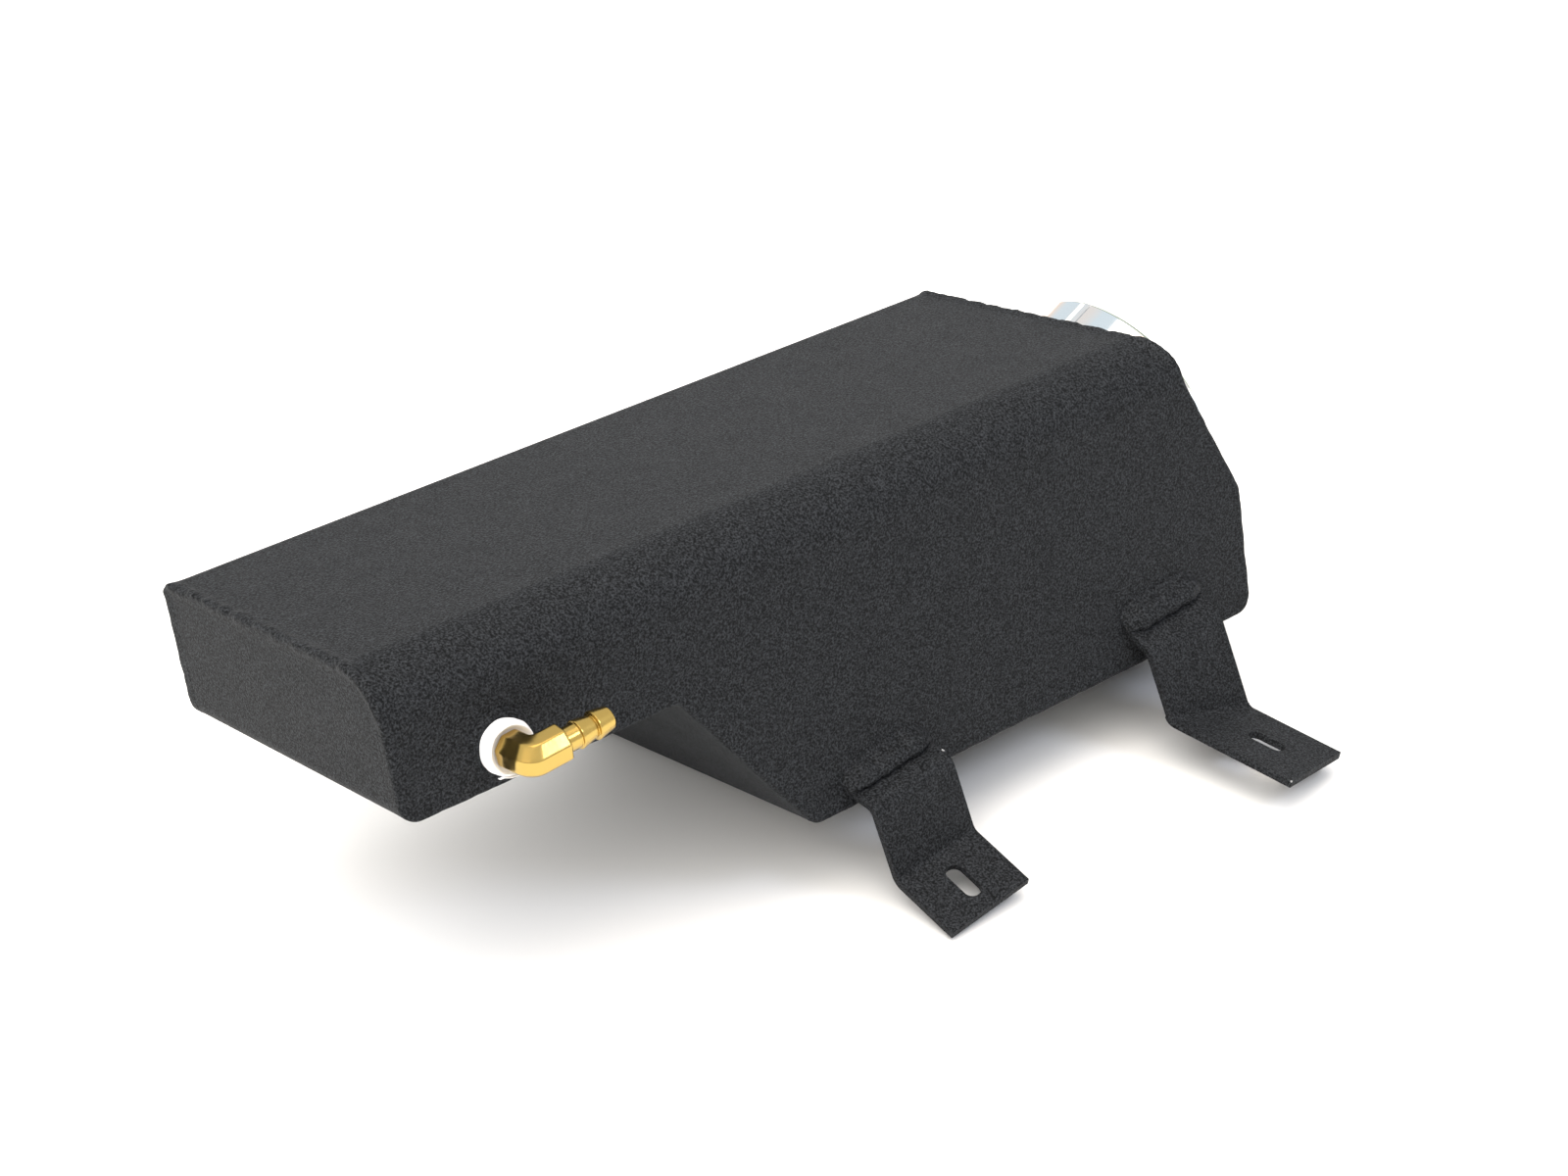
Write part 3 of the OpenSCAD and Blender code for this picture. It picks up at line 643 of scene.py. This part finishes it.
# The tail points a little up. The second leg's octagon is rolled against the first
TAIL_UP, ELBOW_ROLL = math.radians(4), math.radians(13)
TAIL = np.array([math.cos(TAIL_UP), 0, math.sin(TAIL_UP)])
TAIL_TOP = np.array([-math.sin(TAIL_UP), 0, math.cos(TAIL_UP)])


def octagon(angle, across):
    """Radius of an octagon with softened corners: the 40-norm of the distances to its four pairs of flats."""
    norm = 40.0
    flats = np.arange(4) * math.pi / 4
    return across / 2 / (np.abs(np.cos(angle[..., None] - flats)) ** norm).sum(-1) ** (1 / norm)


def elbow_grid(body_in, soft):
    """Body of the forged elbow: lines of an octagonal bar that run out of the wall and turn along the tank.

    Each line turns on an arc of its own at the mitre, the outermost on the radius soft and the innermost on
    the radius tight. The second leg's octagon is rolled a little against the first, as forged fittings are.
    """
    tight = 1.2
    corner = math.radians(22.5) + np.arange(8) * math.pi / 4
    near = np.radians([-18, -9, -5, -2.5, 0, 2.5, 5, 9, 18])
    angle = (corner[:, None] + near).ravel()
    radius = octagon(angle, ELBOW_AF)
    s1, z1 = radius * np.cos(angle), radius * np.sin(angle)
    s2, z2 = radius * np.cos(angle + ELBOW_ROLL), radius * np.sin(angle + ELBOW_ROLL)
    rows = []
    for inset, out in ((0.86, body_in), (0.94, body_in + 0.12), (0.985, body_in + 0.4), (1.0, body_in + 0.7),
                       (1.0, body_in + 1.3)):
        rows.append(np.stack([s1 * inset, np.full_like(s1, out), z1 * inset], -1))
    bend = tight + (soft - tight) * (1 - s1 / s1.max()) / 2
    for t in np.linspace(0, math.pi / 2, 12):
        x = s1 + bend * (1 - math.cos(t))
        out = ELBOW_OUT - s2 - bend * (1 - math.sin(t))
        share = (1 - math.cos(2 * t)) / 2
        rows.append(np.stack([x, out, z1 + (z2 - z1) * share], -1))
    for inset, short in ((1.0, 1.0), (1.0, 0.5), (0.97, 0.12), (0.9, 0.0)):
        rows.append(np.stack([np.full_like(s2, ELBOW_LEG - short), ELBOW_OUT - s2 * inset, z2 * inset], -1))
    return placed(np.array(rows), FITTING, TAIL, OUT, TAIL_TOP)


def tail_grid():
    """Barbed tail with a bore: each barb a steep step and a long taper, their crests just rounded."""
    neck, barb, foot, bore = 4.2, 5.0, 3.85, ELBOW_BORE
    # Radii, and places along the tail from the end of the elbow's second leg
    line = np.array([[bore, -6], [neck, -6], [neck, 5.4], [barb, 5.5], [barb, 5.9], [foot, 12], [barb, 12.2],
                     [barb, 12.6], [foot + 0.1, 18.3], [foot - 0.4, 18.8], [bore, 18.8]])
    grid = lathe(eased(line + [0, ELBOW_LEG], 0.25), full_turn(72))
    return placed(grid, FITTING + ELBOW_OUT * OUT, TAIL_TOP, OUT, TAIL)


def shank_grid():
    """Threaded shank under the tape, with the elbow's bore."""
    line = [[ELBOW_BORE, -6.5], [8.1, -6.5], [8.1, 5.0], [ELBOW_BORE, 5.0]]
    return placed(lathe(eased(line, 0.3), full_turn(72)), *ON_WALL)


def tape_grid():
    """Thread tape wound on the shank: turns that overlap unevenly, on a spiral, bunched at the wall.

    The top layer ends on a spiral of its own, from which the tape steps down to the layers below. The last
    rows draw the front in to the shank behind a ragged rim.
    """
    pitch, drop, drop_run = 1.35, 0.65, 0.35
    a, y = np.meshgrid(full_turn(144), np.linspace(BUNG_OUT - 0.9, TAPE_OUT, 61), indexing="xy")
    turns = y / pitch + a / (2 * math.pi)
    ridge = 0.16 * (1 - np.abs(2 * (turns % 1) - 1))
    lumps = 0.1 * np.sin(3 * a + 1.1 * y) + 0.07 * np.sin(7 * a - 2.3 * y)
    end = 2.9 + 2.2 * ((a / (2 * math.pi) + 0.75) % 1)
    radius = TAPE_R + ridge + lumps - drop * soft_step(np.clip((y - end) / drop_run, 0, 1))
    shell = np.stack([radius * np.cos(a), radius * np.sin(a), y], -1)
    rows = [shell]
    for inset, out in ((0.985, 0.2), (0.95, 0.28), (0.9, 0.1), (0.85, -0.5), (0.5, -1.6)):
        row = shell[-1].copy()
        row[:, :2] *= inset
        row[:, 2] += out
        rows.append(row[None])
    return placed(np.concatenate(rows), *ON_WALL)


def tape_end_grid():
    """Loose end of the tape: it leaves the winding at the lower left in a curl and runs under the elbow."""
    t = np.linspace(0, 1, 41)
    angle = np.radians(-128 + 66 * t)
    radius = 9.05 + 1.1 * np.exp(-(t / 0.09) ** 2) + 0.12 * np.sin(9 * t)
    ways = np.stack([np.cos(angle), np.sin(angle), 0 * t], -1)
    spine = ways * radius[:, None]
    spine[:, 2] = 5.3 + 1.6 * t
    half = np.maximum(0.3 + 0.65 * np.sin(np.pi * np.clip(t * 1.4, 0, 1)) ** 0.5, 0.55)
    across = np.stack([0 * t, 0 * t, half], -1)
    thick = ways * 0.16
    rings = [spine + across + thick, spine - across + thick, spine - across - thick, spine + across - thick]
    return placed(np.stack(rings, 1), *ON_WALL)


def bung_grid():
    """Collar of the weld-in bung, its mouth and rim softened by the coat."""
    line = [[8.3, -8.0], [9.4, -8.0], [9.4, -0.5], [BUNG_R, -0.5], [BUNG_R, BUNG_OUT], [8.3, BUNG_OUT]]
    return placed(lathe(eased(line, 0.45), full_turn(120)), *ON_WALL)


def ring_bead_grid(r, leg, stand, seed):
    """Fillet weld round an upright wall: a closed ring with a bulged face, its leg swelling with its puddles.

    Its root is sunk a little into the wall and the plate. stand is its place and directions.
    """
    sunk = 0.2
    angle = full_turn(240)
    run = angle * r
    swell = weld_swell(run, seed, 3.0, 5.0) + 0.1 * np.sin(2 * np.pi * run / 1.5)
    size = leg * (0.88 + 0.24 * swell)[:, None] + sunk
    share = np.linspace(0, math.pi / 2, 9)
    radial = np.hstack([r - sunk + size * np.cos(share), np.full((len(run), 1), r - sunk)])
    height = np.hstack([-sunk + size * np.sin(share), np.full((len(run), 1), -sunk)])
    turn = angle[:, None]
    return placed(np.stack([radial * np.cos(turn), radial * np.sin(turn), height], -1), *stand)


class ELBOW_OT_make(bpy.types.Operator):
    """Makes the brass hose elbow, its thread tape, and the welded bung that it screws into"""

    bl_idname = "tank.make_elbow"
    bl_label = "Hose fitting"

    def execute(self, context):
        settings = context.scene.tank_settings
        solid, ring = {"close_v": True, "cap_u": True}, {"close_u": True, "close_v": True}
        body = elbow_grid(BODY_IN, settings.elbow_round / MM)
        elbow = mesh_of("brass_elbow", [(body, solid), (tail_grid(), ring), (shank_grid(), ring)])
        dress(elbow, "tank", "brass", cached(brass), "hose_elbow")
        tape = mesh_of("thread_tape_winding", [(tape_grid(), solid), (tape_end_grid(), solid)])
        dress(tape, "tank", "tape", cached(thread_tape), "sealing_tape")
        dress_coated("bung_collar", bung_grid(), "pipe_bung", close_u=True)
        bead = ring_bead_grid(BUNG_R, 1.0, ON_WALL, settings.seed + 10)
        dress_coated("bung_bead", bead, "pipe_bung_weld", close_u=True)
        return {"FINISHED"}


# Filler

# Where the filler's axis meets the sloping face, 43.6 mm down it, and its pieces' place and directions
FILLER = np.array([TOP_L, 60.0, 0]) + 43.6 * FACE_DOWN
ON_FACE = (FILLER, FACE_DOWN, [0, 1, 0], FACE_OUT)
NECK_R = 25.0
# The cap's radius, and the heights of its skirt and its end face
CAP_R, CAP_LOW, CAP_HIGH = 39.2, 3.8, 15.7
# The grip flutes: how many, the radius and depth of each, and the angle of the first
FLUTES, FLUTE_R, FLUTE_D, FLUTE_AT = 6, 3.6, 1.2, math.radians(4.3)
# Distance of the flute circles from the axis, and the angle between them
FLUTE_FAR, FLUTE_STEP = CAP_R + FLUTE_R - FLUTE_D, 2 * math.pi / FLUTES


def fluted(radius, angle):
    """Cuts a turned radius back to the near side of the flute circles, which lie round the rim.

    A tenth of the radius that a row lacks to the full rim is kept, so that no two rows fall together in a
    flute. Rows further in than inside are left as they are.
    """
    kept, inside = 0.1, 20
    off = (angle - FLUTE_AT + FLUTE_STEP / 2) % FLUTE_STEP - FLUTE_STEP / 2
    across = FLUTE_FAR * np.sin(off)
    depth = np.sqrt(np.clip(FLUTE_R ** 2 - across ** 2, 0, None))
    cut = FLUTE_FAR * np.cos(off) - depth - kept * (CAP_R - radius)
    return np.where((np.abs(across) < FLUTE_R) & (radius > inside), np.minimum(radius, cut), radius)


def cap_grid():
    """Screw cap turned from bar: head with eased rims and flutes, gasket recess, spigot and a breather hole.

    Its lines lie close in each flute and about its lips, and further apart on the lands.
    """
    hole, rim, skirt_rim, roof = 1.0, 1.2, 0.6, 2.5
    recess, seat, spigot, bottom, wall = 25.1, 5.55, 20.45, -5.5, 3
    line = [[hole, CAP_HIGH], [CAP_R - rim, CAP_HIGH], [CAP_R, CAP_HIGH - rim], [CAP_R, CAP_LOW + skirt_rim],
            [CAP_R - skirt_rim, CAP_LOW], [recess, CAP_LOW], [recess, seat], [spigot, seat], [spigot, bottom],
            [spigot - wall, bottom], [spigot - wall, roof], [hole, roof]]
    lip = 0.82 * math.asin(FLUTE_R / FLUTE_FAR)
    close = np.concatenate([np.linspace(-1.6, -1.02, 12, endpoint=False), np.linspace(-1.02, 1.02, 36),
                            np.linspace(1.02, 1.6, 13)[1:]]) * lip
    land = np.linspace(close[-1], FLUTE_STEP + close[0], 22)[1:-1]
    starts = FLUTE_AT + np.arange(FLUTES)[:, None] * FLUTE_STEP
    angle = (starts + np.concatenate([close, land])).ravel()
    return placed(lathe(eased(line, 0.3), angle, fluted), *ON_FACE)


class CAP_OT_turn(bpy.types.Operator):
    """Turns the polished cap and lays the ring of weld round the filler neck"""

    bl_idname = "tank.turn_cap"
    bl_label = "Cap and neck"

    def execute(self, context):
        cap = grid_mesh("screw_cap", tank(cap_grid()), close_u=True, close_v=True)
        dress(cap, "cap", "cap", cached(polished_billet), "filler_cap")
        bead = ring_bead_grid(NECK_R, 2.6, ON_FACE, context.scene.tank_settings.seed + 20)
        dress_coated("neck_bead", bead, "filler_neck_weld", close_u=True)
        return {"FINISHED"}


# Stage

class STAGE_OT_tank(bpy.types.Operator):
    """Floor, lights, backdrop and the photograph's camera"""

    bl_idname = "tank.stage"
    bl_label = "Stage"

    def execute(self, context):
        scene = context.scene
        settings = scene.tank_stage
        scene.view_settings.view_transform = "Standard"
        lay_floor(settings)
        hang_lights()
        paint_world(scene)
        aim_camera(scene, settings)
        return {"FINISHED"}


# The photograph's camera: its right, up and back directions in the row frame, one row each
CAMERA_TURN = ((0.774727, -0.615696, -0.143933), (0.342205, 0.216867, 0.914256),
               (-0.53169, -0.757553, 0.378707))


def aim_camera(scene, settings):
    """Stands the camera where the photograph's perspective puts it."""
    data = bpy.data.cameras.new("photograph_camera")
    data.lens = settings.lens
    data.sensor_width = 36.0
    data.clip_start, data.clip_end = 0.01, 50.0
    camera = bpy.data.objects.new("photograph_camera", data)
    place = Matrix(CAMERA_TURN).transposed().to_4x4()
    place.translation = Vector(CORNER) + Vector(settings.camera_at)
    camera.matrix_world = place
    scene.collection.objects.link(camera)
    scene.camera = camera


def lay_floor(settings):
    """A large flat sheet that leans under the tank, through the bead of its lower far edge."""
    bead_drop, bead_in, reach = 1.3, 0.9, 6.0
    edge = tank([0, TANK_W - FOLD_OUT + SHEET_T + bead_in, -DEEP - bead_drop])
    slope = math.tan(settings.floor_lean)
    x, y = np.meshgrid(np.linspace(-reach, reach, 3), np.linspace(-reach, reach, 3), indexing="ij")
    points = np.stack([x, y, edge[2] + slope * (y - edge[1])], -1)
    mesh = bpy.data.meshes.new("sweep_floor")
    quads = [(i * 3 + j, i * 3 + j + 3, i * 3 + j + 4, i * 3 + j + 1) for i in (0, 1) for j in (0, 1)]
    mesh.from_pydata(points.reshape(-1, 3).tolist(), [], quads)
    floor = bpy.data.objects.new("sweep_floor", mesh)
    floor.data.materials.append(cached(paper_floor))
    bpy.context.scene.collection.objects.link(floor)


def hang_lights():
    """Three soft boxes: a key at the left, a broad one overhead, and a small one in front for the metals.

    Each has its place, its width in metres, its power in watts and its colour, and faces the tank.
    """
    lamps = (
        ("left_key", (-1.35, -0.6, 1.1), 1.2, 2.2, "#ffe6d2"),
        ("overhead", (0.0, -0.45, 1.6), 0.9, 5.0, "#ffe8d0"),
        ("front_box", (0.59, -1.14, 0.95), 0.4, 5.0, "#dfe9ff"),
    )
    for name, at, size, power, colour in lamps:
        data = bpy.data.lights.new(name, "AREA")
        data.shape, data.size, data.energy, data.color = "SQUARE", size, power, lin(colour)[:3]
        lamp = bpy.data.objects.new(name, data)
        lamp.location = at
        lamp.rotation_euler = (-Vector(at)).to_track_quat("-Z", "Y").to_euler()
        bpy.context.scene.collection.objects.link(lamp)


# The brightest direction of the light tent, a little left of straight up
TENT_POLE = (-0.42, -0.12, 0.9)


def paint_world(scene):
    """A light tent with a bright roof and a dim foot. The camera and the metals see it plain white."""
    world = bpy.data.worlds.new("light_tent")
    scene.world = world
    world.use_nodes = True
    tree = world.node_tree
    tree.nodes.clear()
    path = add(tree, "ShaderNodeLightPath")
    seen = add(tree, "ShaderNodeMath", {0: path.outputs["Is Camera Ray"], 1: path.outputs["Is Glossy Ray"]},
               operation="MAXIMUM")
    seen = add(tree, "ShaderNodeMath", {0: seen.outputs[0], 1: path.outputs["Is Transmission Ray"]},
               operation="MAXIMUM")
    way = add(tree, "ShaderNodeTexCoord").outputs["Generated"]
    tilt = add(tree, "ShaderNodeVectorMath", {0: way, 1: TENT_POLE}, operation="DOT_PRODUCT")
    level = add(tree, "ShaderNodeMapRange", {"Value": tilt.outputs["Value"]}, from_min=0.3, to_min=0.0,
                to_max=3.9)
    tent = add(tree, "ShaderNodeBackground", {"Strength": level.outputs["Result"]}, color=lin("#fffdfa"))
    white = add(tree, "ShaderNodeBackground", color=lin("#ffffff"), strength=1.0)
    both = add(tree, "ShaderNodeMixShader", {0: seen.outputs[0], 1: tent.outputs[0], 2: white.outputs[0]})
    add(tree, "ShaderNodeOutputWorld", {"Surface": both.outputs[0]})


class SHEET_OT_finish(bpy.types.Operator):
    """Coats the CAD sheets, straps and beads, and finishes cap, gasket, tape and elbow"""

    bl_idname = "tank.finish_sheets"
    bl_label = "Finishes"

    def execute(self, context):
        finishes = {"coat": powder_coat, "cap": polished_billet, "gasket": gasket_rubber,
                    "tape": thread_tape, "brass": brass}
        slots = {part["node"]: part["material_slot"] for part in frame["record"]["subparts"]}
        for node, slot in slots.items():
            data = frame["nodes"][node].data
            data.materials.clear()
            data.materials.append(cached(finishes[slot]))
        return {"FINISHED"}


class TANK_PT_panel(bpy.types.Panel):
    """Lists the steps that build the tank's looks, and their settings"""

    bl_idname = "TANK_PT_panel"
    bl_label = "Expansion tank"
    bl_space_type = "VIEW_3D"
    bl_region_type = "UI"
    bl_category = "Tank"

    def draw(self, context):
        for item in STEPS:
            self.layout.operator(item.bl_idname)
        for group in (context.scene.tank_settings, context.scene.tank_stage):
            for key in group.__annotations__:
                self.layout.prop(group, key)


CLASSES = (TankSettings, TankStage, SHEET_OT_finish, BEAD_OT_lay, ELBOW_OT_make, CAP_OT_turn, STAGE_OT_tank,
           TANK_PT_panel)

STEPS = (SHEET_OT_finish, BEAD_OT_lay, ELBOW_OT_make, CAP_OT_turn, STAGE_OT_tank)


def register():
    """Makes the classes and the scene's settings known to Blender."""
    for item in CLASSES:
        bpy.utils.register_class(item)
    bpy.types.Scene.tank_settings = PointerProperty(type=TankSettings)
    bpy.types.Scene.tank_stage = PointerProperty(type=TankStage)


def unregister():
    """Takes settings and classes away again."""
    del bpy.types.Scene.tank_stage
    del bpy.types.Scene.tank_settings
    for item in reversed(CLASSES):
        bpy.utils.unregister_class(item)


def main():
    """Builds every piece through the operators."""
    register()
    for item in STEPS:
        getattr(bpy.ops.tank, item.bl_idname.split(".")[1])()


if __name__ == "__main__":
    main()
